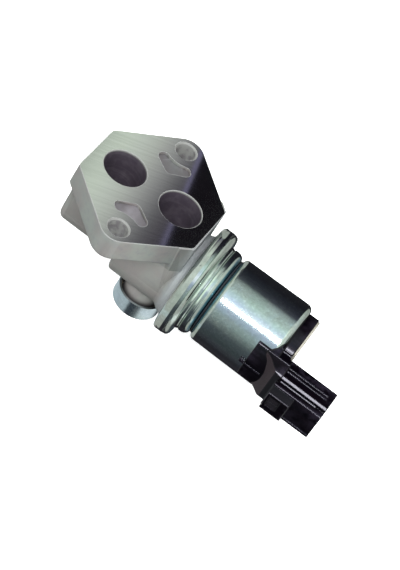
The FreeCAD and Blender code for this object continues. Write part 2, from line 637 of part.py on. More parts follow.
# Saddle that wraps the can beside the window.
ring_out = rod("saddle_outer", D.saddle_start, D.can_end + 0.4, D.saddle_radius)
ring_in = rod("saddle_inner", D.saddle_start - 1.0, D.can_end + 1.0, Dim.of(19.24))
saddle_ring = cut("saddle_ring", ring_out, ring_in)
saddle_clip = box("saddle_clip", D.saddle_start - 0.5, D.can_end + 0.5, -24.0, -8.0, D.saddle_low_z, D.saddle_top_z)
saddle_arc = common("saddle_arc", [saddle_ring, saddle_clip])


def ridge(name, x0, x1, pts):
    """Prism along X with the given outline in Y and Z."""
    outline_sk = free_sketch(name + "_outline", "YZ", x0)
    polygon(outline_sk, pts)
    return extrude(name, outline_sk, V(1, 0, 0), Dim.of(x1 - x0))


bevel = ridge("saddle_bevel", 67.2, 77.6, [(-16.85, D.saddle_top_z + 0.05), (-17.4, D.saddle_top_z - 0.5), (-17.4, D.saddle_top_z + 0.05)])
saddle = cut("saddle", saddle_arc, bevel)
# Stub that fills the can's window between saddle and plug.
stub_ring = rod("stub_outer", D.saddle_start + 1.45, D.can_end + 0.4, Dim.of(19.6))
stub_hole = rod("stub_inner", D.saddle_start, D.can_end + 1.0, Dim.of(17.4))
stub_shell = cut("stub_shell", stub_ring, stub_hole)
stub_clip = box("stub_clip", D.saddle_start + 1.45, D.can_end + 0.4, -24.0, -8.0, D.saddle_low_z + 1.25, D.saddle_top_z - 1.25)
stub = common("stub", [stub_shell, stub_clip])
# Bridge from the stub to the plug inside the lip
bridge = box("bridge", 74.2, D.can_end + 0.4, -18.4, -12.0, D.saddle_low_z + 1.25, D.saddle_top_z - 1.25)
# Neck: from the disc out to the connector shell, its outer face sloping away from the can.
sk = free_sketch("neck_plan", "XY", 0.0)
polygon(sk, [(72.6, -8.0), (72.6, -18.0), (74.6, -18.9), (76.3, -20.1), (79.6, D.neck_front_y + 0.05), (D.shell_start + 0.8, D.neck_front_y - 0.3),
             (D.shell_start + 0.8, -14.4), (D.disc_end + 0.1, -14.4), (D.disc_end - 0.1, -12.3), (D.disc_end - 0.1, -8.0)])
sk.setExpression(".Placement.Base.z", "dims.neck_low_z")
neck_plan = extrude("neck_plan_solid", sk, V(0, 0, 1), D.saddle_top_z - D.neck_low_z)
sk = free_sketch("neck_section", "YZ", 72.0)
polygon(sk, [(-7.0, D.saddle_top_z), (-17.05, D.saddle_top_z), (-17.4, D.saddle_top_z - 0.35), (-22.3, D.saddle_top_z - 1.45),
             (D.neck_front_y - 0.3, D.saddle_top_z - 2.35), (D.neck_front_y - 0.3, D.neck_low_z + 1.0),
             (D.neck_front_y + 0.7, D.neck_low_z), (-7.0, D.neck_low_z)])
neck_section = extrude("neck_section_solid", sk, V(1, 0, 0), Dim.of(12.0))
neck_raw = common("neck_raw", [neck_plan, neck_section])
# Outside of the can, with its rounded rear edge, taken out of the neck.
sk = free_sketch("can_relief_outline", "XZ")
rr, ra = 2.6, 2.63 / 0.98079
corner = []
for deg in (78.75, 56.25, 33.75, 11.25):
    corner.append((D.can_end - rr + ra * math.cos(math.radians(deg)), D.can_rear_radius - rr + ra * math.sin(math.radians(deg))))
polygon(sk, [(60.0, 0.0), (60.0, D.can_rear_radius + 0.03)] + corner + [(D.can_end + 0.03, 0.0)])
relief = doc.addObject("Part::Revolution", "can_relief")
relief.Source = sk
relief.Axis = V(1, 0, 0)
relief.Base = V(0, 0, 0)
relief.Angle = 360
relief.Solid = True
relief.setExpression(".Placement.Base.z", "-dims.axis_depth")
# Gusset that rises from the saddle's upper edge to the disc, behind the can's rear edge.
gusset_ring = rod("gusset_ring", 73.0, D.can_end + 0.4, D.saddle_radius)
sk = free_sketch("gusset_outline", "XZ", 8.0)
polygon(sk, [(73.3, D.saddle_top_z - 0.4), (73.3, D.saddle_top_z), (76.2, D.saddle_top_z + 2.9), (D.can_end + 0.4, D.saddle_top_z + 2.9),
             (D.can_end + 0.4, D.saddle_top_z - 0.4)])
gusset_wedge = extrude("gusset_wedge", sk, V(0, -1, 0), Dim.of(16.0))
gusset = common("gusset", [gusset_ring, gusset_wedge])
neck_sum = fuse("neck_sum", [neck_raw, gusset])
neck_block = cut("neck_block", neck_sum, relief)
nub = box("saddle_nub", D.saddle_start - 2.3, D.saddle_start + 0.5, -20.15, -18.4, -26.9, -25.3)
nub_trim = rod("nub_trim", D.saddle_start - 3.0, D.saddle_start + 1.0, Dim.of(19.24))
nub_cut = cut("nub", nub, nub_trim)
seam = box("saddle_rib", D.saddle_start + 0.1, 75.2, -20.42, -19.8, -26.3, -25.7)
doc.recompute()

# Connector shell: an open box with a large chamfer on its outer corners and a latch box.
sk = free_sketch("shell_section", "YZ")
sk.setExpression(".Placement.Base.x", "dims.shell_start")
c_low, c_back = 1.9, 0.5
polygon(sk, [(D.shell_back_y - c_back, D.shell_top_z), (-21.15, D.shell_top_z), (-22.1, D.shell_top_z - 0.95),
             (-22.15, D.shell_top_z - 2.25), (D.shell_front_y + 0.4, D.shell_top_z - 2.4), (D.shell_front_y, D.shell_top_z - 2.8),
             (D.shell_front_y, D.shell_low_z + c_low), (D.shell_front_y + c_low, D.shell_low_z),
             (D.shell_back_y - c_back, D.shell_low_z), (D.shell_back_y, D.shell_low_z + c_back), (D.shell_back_y, D.shell_top_z - c_back)])
shell_solid = extrude("shell_solid", sk, V(1, 0, 0), D.mouth_x - D.shell_start)


def shell_edge(e):
    """Long outer edges of the shell, apart from those of its stepped upper front corner."""
    b = e.BoundBox
    stepped = b.YMax < -19.0 and b.ZMin > VAL["shell_top_z"] - 3.0
    return b.XLength > 15 and not stepped


shell_round = round_edges("shell_round", shell_solid, 0.45, shell_edge)
sk = free_sketch("socket_section", "YZ")
sk.setExpression(".Placement.Base.x", "dims.shell_floor")
wl = VAL["shell_wall"]
polygon(sk, [(D.shell_back_y - D.shell_wall, D.shell_top_z - D.shell_wall), (-19.9, D.shell_top_z - D.shell_wall),
             (-20.65, D.shell_top_z - D.shell_wall - 0.75), (-20.7, D.shell_top_z - 3.85), (D.shell_front_y + D.shell_wall, D.shell_top_z - 3.95),
             (D.shell_front_y + D.shell_wall, D.shell_low_z + c_low - 0.5 + D.shell_wall),
             (D.shell_front_y + c_low - 0.5 + D.shell_wall, D.shell_low_z + D.shell_wall),
             (D.shell_back_y - D.shell_wall, D.shell_low_z + D.shell_wall)])
socket = extrude("socket", sk, V(1, 0, 0), D.mouth_x - D.shell_floor + 1.0)
latch_prism = ridge("latch_block", 82.3, 91.8, [(D.shell_front_y + 0.8, -20.85), (D.shell_front_y - 3.3, -22.3), (D.shell_front_y - 3.7, -22.7),
                                              (D.shell_front_y - 3.7, -31.6), (D.shell_front_y - 3.3, -32.0), (D.shell_front_y + 0.8, -32.0)])
latch_round = round_edges("latch_round", latch_prism, 0.3,
                          lambda e: e.BoundBox.YMax < VAL["shell_front_y"] - 3.6 and e.BoundBox.XLength < 0.01
                          and e.BoundBox.ZLength > 5)
latch_well = box("latch_well", 83.6, 88.2, D.shell_front_y - 3.8, D.shell_front_y - 1.0, -28.9, -23.4)
rib_a = ridge("key_rib_near", 83.0, 101.6, [(-17.55, D.shell_top_z - 0.3), (-17.55, D.shell_top_z + 0.35), (-17.95, D.shell_top_z + 0.35),
                                            (-18.3, D.shell_top_z), (-18.3, D.shell_top_z - 0.3)])
rib_b = ridge("key_rib_far", 83.0, 101.6, [(-15.6, D.shell_top_z - 0.3), (-15.6, D.shell_top_z + 0.35), (-16.0, D.shell_top_z + 0.35),
                                           (-16.35, D.shell_top_z), (-16.35, D.shell_top_z - 0.3)])
corner_bead = ridge("corner_bead", 83.2, 100.2, [(-22.0, D.shell_top_z - 2.6), (-22.0, D.shell_top_z - 1.8), (-22.15, D.shell_top_z - 1.8),
                                                 (-22.65, D.shell_top_z - 2.3), (-22.65, D.shell_top_z - 2.6)])
low_bead = ridge("low_bead", VAL["shell_start"], VAL["mouth_x"], [(D.shell_front_y + 0.3, -31.8), (D.shell_front_y, -31.8), (D.shell_front_y - 0.4, -32.2),
                                                        (D.shell_front_y - 0.4, -32.65), (D.shell_front_y, -33.05), (D.shell_front_y + 0.3, -33.05)])
disc_bead = ridge("disc_bead", VAL["can_end"] + 0.15, VAL["disc_end"], [(-12.5, D.saddle_top_z - 0.3), (-12.5, D.saddle_top_z + 0.4), (-13.1, D.saddle_top_z + 0.4),
                                                             (-13.6, D.saddle_top_z - 0.1), (-13.6, D.saddle_top_z - 0.3)])
doc.recompute()
moulding = fuse("moulding", [plug, saddle, stub, bridge, neck_block, nub_cut, seam, shell_round, latch_round, rib_a, rib_b, corner_bead, low_bead, disc_bead])

# Terminal pins: two flat blades through the shell's floor, cranked down to the coil.
def pin(tag, zc):
    y_mid = (VAL["shell_back_y"] + VAL["shell_front_y"]) / 2.0
    blade = box("blade_" + tag, 77.6, D.pin_x_end, y_mid - 0.4, y_mid + 0.4, zc - 1.2, zc + 1.2)
    leg = box("leg_" + tag, 77.6, 79.2, y_mid + 0.4, -11.0, zc - 1.2, zc + 1.2)
    f = fuse("pin_solid_" + tag, [blade, leg])
    return round_edges("pin_" + tag, f, 0.3,
                       lambda e: e.BoundBox.XMin > VAL["pin_x_end"] - 0.01)


pins = [pin("upper", -VAL["axis_depth"] + VAL["pin_pitch"] / 2.0), pin("lower", -VAL["axis_depth"] - VAL["pin_pitch"] / 2.0)]
pin_group = doc.addObject("Part::Compound", "terminal_pins")
pin_group.Links = pins
pin_group.Label = "terminal_pins"
doc.recompute()
removed = fuse("moulding_hollows", [socket, latch_well, pins[0], pins[1]])
removed.Refine = False
connector = cut("connector_body", moulding, removed)
connector.Label = "connector_body"
doc.recompute()
PARTS.append(connector)
PARTS.append(pin_group)
end_disc = turned("end_disc", [
    (D.disc_end, 0.0), (D.disc_end, 15.95), (D.end_disc_end - 0.25, 15.95), (D.end_disc_end, 15.7), (D.end_disc_end, 0.0)])
notch = box("disc_notch", D.disc_end - 0.5, D.end_disc_end + 0.5, -26.0, -11.1, -35.7, D.saddle_top_z + 0.3)
end_cut = cut("end_disc_cut", end_disc, notch)
end_cut.Label = "end_cover_disc"
PARTS.append(end_cut)

# ---------------------------------------------------------------- vent cap and filter
cap = turned("vent_cap", [
    (D.cup_end_z, D.vent_stem_radius), (D.cup_end_z, D.cup_radius), (D.cup_rim_z, D.cup_radius),
    (D.cup_rim_z, D.cup_radius - D.cup_wall), (D.cup_end_z + D.cup_wall, D.cup_radius - D.cup_wall),
    (D.cup_end_z + D.cup_wall, D.vent_stem_radius)], about="Z", place=(D.vent_x, 0.0, 0.0))
round_body(cap, [(VAL["cup_end_z"], VAL["cup_radius"])], 0.75, "cap_round", upright=True)
PARTS.append(cap)
PARTS.append(turned("vent_filter", [
    (D.cup_end_z + D.cup_wall, D.vent_stem_radius + 0.05), (D.cup_end_z + D.cup_wall, D.filter_radius),
    (D.vent_boss_end, D.filter_radius), (D.vent_boss_end, D.vent_stem_radius + 0.05)], about="Z", place=(D.vent_x, 0.0, 0.0)))
doc.recompute()

# ---------------------------------------------------------------- checks and export
bad = []
for o in doc.Objects:
    if "Invalid" in o.State or "Error" in o.State:
        bad.append("%s (%s): %s" % (o.Name, o.TypeId, o.State))
for p in PARTS:
    s = p.Shape
    if s.isNull() or not s.isValid():
        bad.append("%s: shape null or invalid" % p.Label)
    elif len(s.Solids) < 1:
        bad.append("%s: no solid" % p.Label)
if bad:
    raise RuntimeError("; ".join(bad))
for p in PARTS:
    s = p.Shape
    b = s.BoundBox
    print("%-16s solids %d  volume %9.1f  x %.2f..%.2f  y %.2f..%.2f  z %.2f..%.2f"
          % (p.Label, len(s.Solids), s.Volume, b.XMin, b.XMax, b.YMin, b.YMax, b.ZMin, b.ZMax))
    s.exportStep("parts/%s.step" % p.Label)
print("nodes", len(PARTS))
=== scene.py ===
import math

import bpy
from mathutils import Matrix, Vector


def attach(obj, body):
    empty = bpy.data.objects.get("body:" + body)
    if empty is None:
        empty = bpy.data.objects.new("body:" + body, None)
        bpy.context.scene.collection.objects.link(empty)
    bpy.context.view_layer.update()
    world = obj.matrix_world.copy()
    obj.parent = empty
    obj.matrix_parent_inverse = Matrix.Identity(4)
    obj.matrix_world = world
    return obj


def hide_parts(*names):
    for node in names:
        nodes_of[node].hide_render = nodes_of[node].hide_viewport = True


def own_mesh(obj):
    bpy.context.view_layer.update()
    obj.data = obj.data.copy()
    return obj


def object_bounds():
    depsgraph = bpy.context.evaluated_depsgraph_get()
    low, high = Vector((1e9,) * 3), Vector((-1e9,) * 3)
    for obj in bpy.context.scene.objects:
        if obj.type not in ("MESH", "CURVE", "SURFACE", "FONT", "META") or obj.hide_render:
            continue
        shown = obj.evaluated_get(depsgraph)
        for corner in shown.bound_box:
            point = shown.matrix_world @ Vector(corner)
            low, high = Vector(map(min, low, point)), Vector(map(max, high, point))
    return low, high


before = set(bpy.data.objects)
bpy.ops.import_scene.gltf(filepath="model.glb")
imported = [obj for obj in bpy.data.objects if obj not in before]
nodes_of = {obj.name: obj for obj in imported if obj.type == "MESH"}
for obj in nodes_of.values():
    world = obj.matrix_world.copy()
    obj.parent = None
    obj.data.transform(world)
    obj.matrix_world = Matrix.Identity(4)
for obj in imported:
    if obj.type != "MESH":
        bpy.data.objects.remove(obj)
cad_low, cad_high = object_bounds()
scene = bpy.context.scene

PORT_X = 0.01317
PORT_R = 0.009


# ------------------------------------------------------------------ node-tree helpers
class Tree:
    """Small helper for building shader trees with arithmetic on sockets."""

    def __init__(self, tree):
        self.t = tree
        self.n = tree.nodes
        self.n.clear()
        self.x = 0

    def new(self, kind, **props):
        node = self.n.new(kind)
        self.x += 60
        node.location = (self.x, 0)
        for k, v in props.items():
            setattr(node, k, v)
        return node

    def link(self, a, b):
        self.t.links.new(a, b)

    def put(self, socket, value):
        if isinstance(value, bpy.types.NodeSocket):
            self.link(value, socket)
        elif isinstance(value, (tuple, list)):
            if len(value) == 3 and len(socket.default_value) == 4:
                value = (*value, 1.0)
            socket.default_value = value
        else:
            socket.default_value = value

    def math(self, op, a, b=None, c=None, clamp=False):
        node = self.new("ShaderNodeMath", operation=op, use_clamp=clamp)
        for i, v in enumerate((a, b, c)):
            if v is not None:
                self.put(node.inputs[i], v)
        return node.outputs[0]

    def add(self, a, b):
        return self.math("ADD", a, b)

    def sub(self, a, b):
        return self.math("SUBTRACT", a, b)

    def mul(self, a, b):
        return self.math("MULTIPLY", a, b)

    def step(self, v, lo, hi, out0=0.0, out1=1.0):
        """Smooth step of v from lo to hi."""
        node = self.new("ShaderNodeMapRange", interpolation_type="SMOOTHSTEP", clamp=True)
        self.put(node.inputs["Value"], v)
        node.inputs["From Min"].default_value = lo
        node.inputs["From Max"].default_value = hi
        node.inputs["To Min"].default_value = out0
        node.inputs["To Max"].default_value = out1
        return node.outputs["Result"]

    def mix(self, fac, a, b, blend="MIX"):
        node = self.new("ShaderNodeMix", data_type="RGBA", blend_type=blend, clamp_factor=True)
        self.put(node.inputs["Factor"], fac)
        self.put(node.inputs[6], a)
        self.put(node.inputs[7], b)
        return node.outputs[2]

    def lerp(self, fac, a, b):
        node = self.new("ShaderNodeMix", data_type="FLOAT", clamp_factor=True)
        self.put(node.inputs["Factor"], fac)
        self.put(node.inputs[2], a)
        self.put(node.inputs[3], b)
        return node.outputs[0]

    def xyz(self, v):
        node = self.new("ShaderNodeSeparateXYZ")
        self.put(node.inputs[0], v)
        return node.outputs

    def vec(self, x, y, z):
        node = self.new("ShaderNodeCombineXYZ")
        for i, v in enumerate((x, y, z)):
            self.put(node.inputs[i], v)
        return node.outputs[0]

    def dot(self, a, b):
        node = self.new("ShaderNodeVectorMath", operation="DOT_PRODUCT")
        self.put(node.inputs[0], a)
        self.put(node.inputs[1], b)
        return node.outputs["Value"]

    def leaned(self, normal, lean):
        """The normal tipped along X by a small slope."""
        add = self.new("ShaderNodeVectorMath", operation="ADD")
        self.put(add.inputs[0], normal)
        self.put(add.inputs[1], self.vec(lean, 0.0, 0.0))
        unit = self.new("ShaderNodeVectorMath", operation="NORMALIZE")
        self.put(unit.inputs[0], add.outputs[0])
        return unit.outputs[0]

    def scaled(self, v, loc=(0, 0, 0), rot=(0, 0, 0), scale=(1, 1, 1)):
        node = self.new("ShaderNodeMapping")
        self.put(node.inputs["Vector"], v)
        node.inputs["Location"].default_value = loc
        node.inputs["Rotation"].default_value = rot
        node.inputs["Scale"].default_value = scale
        return node.outputs[0]

    def noise(self, v, scale, detail=3.0, rough=0.55, distort=0.0):
        node = self.new("ShaderNodeTexNoise")
        self.put(node.inputs["Vector"], v)
        node.inputs["Scale"].default_value = scale
        node.inputs["Detail"].default_value = detail
        node.inputs["Roughness"].default_value = rough
        node.inputs["Distortion"].default_value = distort
        return node.outputs[0]

    def voronoi(self, v, scale, feature="F1", rand=1.0):
        node = self.new("ShaderNodeTexVoronoi", feature=feature)
        self.put(node.inputs["Vector"], v)
        node.inputs["Scale"].default_value = scale
        node.inputs["Randomness"].default_value = rand
        return node.outputs[0]

    def ramp(self, v, stops, mode="LINEAR"):
        node = self.new("ShaderNodeValToRGB")
        self.put(node.inputs[0], v)
        r = node.color_ramp
        r.interpolation = mode
        while len(r.elements) > 1:
            r.elements.remove(r.elements[-1])
        for i, (p, c) in enumerate(stops):
            e = r.elements[0] if i == 0 else r.elements.new(p)
            e.position = p
            if not isinstance(c, (tuple, list)):
                c = (c, c, c)
            e.color = (*c, 1.0)
        return node.outputs[0]

    def bump(self, height, strength, distance, normal=None):
        node = self.new("ShaderNodeBump")
        self.put(node.inputs["Height"], height)
        node.inputs["Strength"].default_value = strength
        node.inputs["Distance"].default_value = distance
        if normal is not None:
            self.link(normal, node.inputs["Normal"])
        return node.outputs[0]


def srgb(r, g, b):
    """8-bit display colour to linear."""
    out = []
    for c in (r, g, b):
        c = c / 255.0
        out.append(c / 12.92 if c <= 0.04045 else ((c + 0.055) / 1.055) ** 2.4)
    return tuple(out)


def material(name):
    m = bpy.data.materials.new(name)
    m.use_nodes = True
    t = Tree(m.node_tree)
    out = t.new("ShaderNodeOutputMaterial")
    p = t.new("ShaderNodeBsdfPrincipled")
    t.link(p.outputs[0], out.inputs["Surface"])
    tc = t.new("ShaderNodeTexCoord")
    geo = t.new("ShaderNodeNewGeometry")
    return m, t, p, tc.outputs["Object"], geo


def edge_mask(t, geo, radius, lo=0.01, hi=0.06):
    """1 within about radius of any edge, convex or concave, whatever the mesh is like."""
    bev = t.new("ShaderNodeBevel", samples=6)
    bev.inputs["Radius"].default_value = radius
    return t.step(t.sub(1.0, t.dot(bev.outputs[0], geo.outputs["Normal"])), lo, hi)


def rim_mask(t, geo, lo=0.50, hi=0.60):
    """1 on convex edges of the mesh, from its pointiness."""
    return t.step(geo.outputs["Pointiness"], lo, hi)


# ------------------------------------------------------------------ cast housing
def cast_housing():
    m, t, p, co, geo = material("cast_aluminium_look")
    x, y, z = t.xyz(co)
    nx, ny, nz = t.xyz(geo.outputs["True Normal"])
    # masks by place: milled face, port bores, bolt holes, recesses
    top = t.mul(t.step(z, -0.00020, -0.00005), t.step(nz, 0.90, 0.97))
    ax = t.math("ABSOLUTE", x)
    ay = t.math("ABSOLUTE", y)
    dport = t.math("SQRT", t.add(t.math("POWER", t.sub(ax, PORT_X), 2.0), t.math("POWER", y, 2.0)))
    in_port = t.mul(t.step(dport, 0.00930, 0.00905), t.step(z, -0.0002, -0.0006))
    in_port = t.mul(in_port, t.step(z, -0.0375, -0.0362))
    dbolt = t.math("SQRT", t.add(t.math("POWER", t.sub(ay, 0.02844), 2.0), t.math("POWER", x, 2.0)))
    in_bolt = t.mul(t.step(dbolt, 0.0049, 0.0047), t.step(z, -0.00015, -0.0004))
    recess = t.mul(t.mul(t.step(z, -0.0014, -0.0012), t.step(z, -0.0001, -0.0003)), t.step(nz, 0.5, 0.8))
    recess = t.mul(recess, t.sub(1.0, in_bolt))

    # as-cast skin: two scales of soft unevenness, fine grain, a few pits
    big = t.noise(t.scaled(co, scale=(1, 1, 1)), 90.0, 3.0, 0.5)
    mid = t.noise(co, 420.0, 4.0, 0.6)
    fine = t.noise(co, 2600.0, 2.0, 0.6)
    pits = t.voronoi(co, 520.0)
    pit_mask = t.step(pits, 0.16, 0.05)
    pit_keep = t.step(t.noise(co, 160.0, 1.0), 0.52, 0.62)
    pit = t.mul(pit_mask, pit_keep)

    # milling marks: fine lines about 25 degrees from X, coarser bands along them, faint scratches about 38 degrees
    # from X
    ang = math.radians(24.0)
    turned_co = t.scaled(co, rot=(0, 0, -ang))
    lines_v = t.scaled(turned_co, scale=(60.0, 4200.0, 1.0))
    lines = t.noise(lines_v, 1.0, 3.0, 0.65)
    lines2 = t.noise(t.scaled(turned_co, scale=(18.0, 900.0, 1.0)), 1.0, 2.0, 0.5)
    scratch_v = t.scaled(t.scaled(co, rot=(0, 0, math.radians(38.0))), scale=(40.0, 2400.0, 1.0))
    scratch = t.step(t.noise(scratch_v, 1.0, 1.0, 0.5), 0.70, 0.76)

    warm = srgb(154, 147, 146)
    green = srgb(156, 160, 155)
    cool = srgb(139, 139, 146)
    tone = t.mix(t.step(big, 0.35, 0.65), warm, green)
    tone = t.mix(t.mul(t.step(mid, 0.45, 0.75), 0.5), tone, cool)
    tone = t.mix(t.mul(pit, 0.6), tone, srgb(84, 80, 78))
    worn = t.mul(rim_mask(t, geo, 0.505, 0.56), t.sub(1.0, top))
    ring = t.math("MAXIMUM", t.mul(t.step(dport, 0.0099, 0.0097), t.step(z, -0.0009, -0.0008)),
                  t.mul(t.step(dbolt, 0.0052, 0.0050), t.step(z, -0.0009, -0.0008)))
    ring = t.mul(ring, t.sub(1.0, top))
    worn = t.mul(worn, t.sub(1.0, ring))
    tone = t.mix(t.mul(worn, 0.35), tone, srgb(176, 178, 176))
    # painted shade: concave creases and corners of the casting darkened
    crease_shade = t.step(geo.outputs["Pointiness"], 0.495, 0.44)
    tone = t.mix(t.mul(crease_shade, 0.55), tone, srgb(88, 84, 82))
    # painted shade: port bore walls darkened inside; the lighter turned rings are machining marks
    bore = t.mix(t.step(t.noise(co, 300.0, 3.0), 0.4, 0.7), srgb(84, 76, 88), srgb(98, 90, 101))
    turned_rings = t.noise(t.scaled(co, scale=(30, 30, 900)), 1.0, 3.0, 0.6)
    bore = t.mix(t.mul(t.step(turned_rings, 0.5, 0.75), 0.35), bore, srgb(118, 112, 120))
    # painted light: the neck towards the collar lightened and cooled
    tone = t.mix(t.mul(t.step(x, 0.0250, 0.0280), 0.64), tone, srgb(190, 195, 200))
    # painted light: the lower body below the flange, short of the neck, lightened
    low = t.mul(t.step(z, -0.0136, -0.0141), t.step(x, 0.0270, 0.0245))
    tone = t.mix(t.mul(low, 0.32), tone, srgb(198, 193, 190))
    shaded = t.mul(t.mul(t.step(nx, 0.2, 0.4), t.step(x, 0.010, 0.022)), t.step(z, -0.0139, -0.0136))
    tone = t.mix(t.mul(shaded, 0.45), tone, srgb(92, 94, 96))
    # painted shade: the bottom of the boss darkened where it meets the vent cap's lip
    cap_gap_shade = t.mul(t.step(z, -0.0445, -0.0485), t.step(x, 0.0085, 0.0100))
    tone = t.mix(t.mul(cap_gap_shade, 0.85), tone, srgb(44, 40, 48))
    tone = t.mix(in_port, tone, bore)
    tone = t.mix(in_bolt, tone, t.mix(t.step(mid, 0.4, 0.6), srgb(150, 146, 150), srgb(176, 176, 174)))
    # painted shade: recess floors darker towards their side walls and in the recess at positive Y
    side = t.step(ax, 0.0012, 0.0048)
    recess_floor_shade = t.mix(t.step(y, 0.004, 0.010), t.mix(side, srgb(122, 118, 130), srgb(88, 85, 97)), srgb(70, 68, 78))
    tone = t.mix(recess, tone, t.mix(t.step(mid, 0.35, 0.65), recess_floor_shade, t.mix(t.step(y, 0.004, 0.010), t.mix(side, srgb(136, 133, 143), srgb(102, 99, 110)), srgb(86, 84, 93))))
    tone = t.mix(t.mul(ring, 0.85), tone, srgb(150, 150, 148))
    face = t.mix(t.step(lines2, 0.3, 0.7), srgb(200, 202, 199), srgb(208, 210, 207))
    face = t.mix(t.mul(t.step(lines, 0.5, 0.75), 0.30), face, srgb(216, 218, 216))
    tone = t.mix(top, tone, face)
    # painted highlight: edges at the level of the top face lightened, most at positive Y
    lip = t.mul(edge_mask(t, geo, 0.00026), t.step(z, -0.0005, -0.0003))
    lip = t.mul(lip, t.step(t.noise(co, 240.0, 3.0), 0.25, 0.5, 0.45, 1.0))
    tone = t.mix(t.mul(lip, 0.8), tone, t.mix(t.step(y, 0.010, 0.014), srgb(150, 150, 152), srgb(182, 184, 183)))
    t.put(p.inputs["Base Color"], tone)

    metal = t.lerp(top, 0.50, 1.0)
    metal = t.lerp(in_port, metal, 0.45)
    metal = t.lerp(lip, metal, 0.30)
    t.put(p.inputs["Metallic"], metal)
    rough = t.add(0.52, t.mul(t.sub(mid, 0.5), 0.22))
    rough = t.lerp(worn, rough, 0.50)
    rough = t.lerp(ring, rough, 0.60)
    rough = t.lerp(in_port, rough, 0.42)
    rough = t.lerp(recess, rough, 0.48)
    rough = t.lerp(top, rough, t.add(0.155, t.mul(t.sub(lines2, 0.5), 0.04)))
    rough = t.lerp(lip, rough, 0.5)
    t.put(p.inputs["Roughness"], rough)
    t.put(p.inputs["Anisotropic"], t.mul(top, 0.9))
    tan = t.new("ShaderNodeVectorRotate", rotation_type="Z_AXIS")
    tan.inputs["Vector"].default_value = (1, 0, 0)
    tan.inputs["Angle"].default_value = ang + math.pi / 2.0
    t.link(tan.outputs[0], p.inputs["Tangent"])

    cast_h = t.add(t.add(t.mul(big, 0.5), t.mul(mid, 0.35)), t.mul(fine, 0.18))
    cast_h = t.sub(cast_h, t.mul(pit, 0.5))
    mill_h = t.sub(t.add(t.mul(lines, 0.014), t.mul(lines2, 0.004)), t.mul(scratch, 0.04))
    h = t.lerp(top, cast_h, mill_h)
    h = t.lerp(in_port, h, t.mul(t.noise(t.scaled(co, scale=(60, 60, 1800)), 1.0, 2.0), 0.25))
    t.put(p.inputs["Normal"], t.bump(h, 0.55, 0.00022))
    return m


# ------------------------------------------------------------------ plated steel
def plated(name, tint, rough=0.20, streak=0.5, mottle=1.0, along="X", bends=(), blue_from=None):
    """Zinc-plated steel. bends = (from x, to x, slope) are the rolled shoulders of a turned surface."""
    m, t, p, co, geo = material(name)
    x, y, z = t.xyz(co)
    cloud = t.noise(co, 110.0, 3.0, 0.55)
    mid = t.noise(co, 300.0, 4.0, 0.6)
    speck = t.noise(co, 900.0, 3.0, 0.6)
    fine = t.noise(co, 1800.0, 3.0, 0.6)
    spangle = t.voronoi(co, 700.0)
    if along == "X":
        drawn = t.noise(t.scaled(co, scale=(30.0, 900.0, 900.0)), 1.0, 3.0, 0.6)
    else:
        drawn = t.noise(t.scaled(co, scale=(900.0, 900.0, 30.0)), 1.0, 3.0, 0.6)
    base = t.mix(t.step(mid, 0.3, 0.7), tint, tuple(c * 0.88 for c in tint))
    base = t.mix(t.mul(t.step(cloud, 0.46, 0.66), 0.40 * mottle), base, (tint[0] * 0.88, tint[1] * 0.98, tint[2] * 0.90))
    base = t.mix(t.mul(t.step(cloud, 0.48, 0.34), 0.40 * mottle), base, (tint[0] * 0.85, tint[1] * 0.88, tint[2] * 1.02))
    base = t.mix(t.mul(t.step(speck, 0.50, 0.72), 0.40 * mottle), base, tuple(min(1.0, c * 1.30) for c in tint))
    base = t.mix(t.mul(t.step(speck, 0.48, 0.30), 0.30 * mottle), base, tuple(c * 0.72 for c in tint))
    dirt = t.mul(t.step(t.noise(co, 130.0, 5.0, 0.65), 0.60, 0.76), 0.30)
    base = t.mix(dirt, base, tuple(c * 0.66 for c in tint))
    # painted shade: concave creases darkened
    crease_shade = t.step(geo.outputs["Pointiness"], 0.49, 0.42)
    base = t.mix(t.mul(crease_shade, 0.7), base, tuple(c * 0.35 for c in tint))
    if blue_from is not None:
        tail = t.mul(t.step(x, blue_from, blue_from + 0.0006), t.step(mid, 0.15, 0.5, 0.65, 1.0))
        base = t.mix(tail, base, srgb(100, 142, 162))
    t.put(p.inputs["Base Color"], base)
    p.inputs["Metallic"].default_value = 1.0
    r = t.add(rough, t.mul(t.sub(mid, 0.5), 0.16 * mottle))
    r = t.add(r, t.mul(t.sub(drawn, 0.5), 0.10 * streak))
    r = t.add(r, t.mul(dirt, 0.25))
    t.put(p.inputs["Roughness"], r)
    h = t.add(t.mul(mid, 0.25 + 0.45 * mottle), t.add(t.mul(fine, 0.16 * mottle), t.mul(spangle, 0.08)))
    h = t.add(h, t.add(t.mul(drawn, 0.10 * streak), t.mul(speck, 0.12 * mottle)))
    under = None
    if bends:
        lean = 0.0
        for x_from, x_to, slope in bends:
            zone = t.mul(t.step(x, x_from - 0.0003, x_from + 0.0003), t.step(x, x_to + 0.0003, x_to - 0.0003))
            lean = t.add(lean, t.mul(zone, slope))
        under = t.leaned(geo.outputs["Normal"], lean)
    t.put(p.inputs["Normal"], t.bump(h, 0.35, 0.00012, under))
    return m


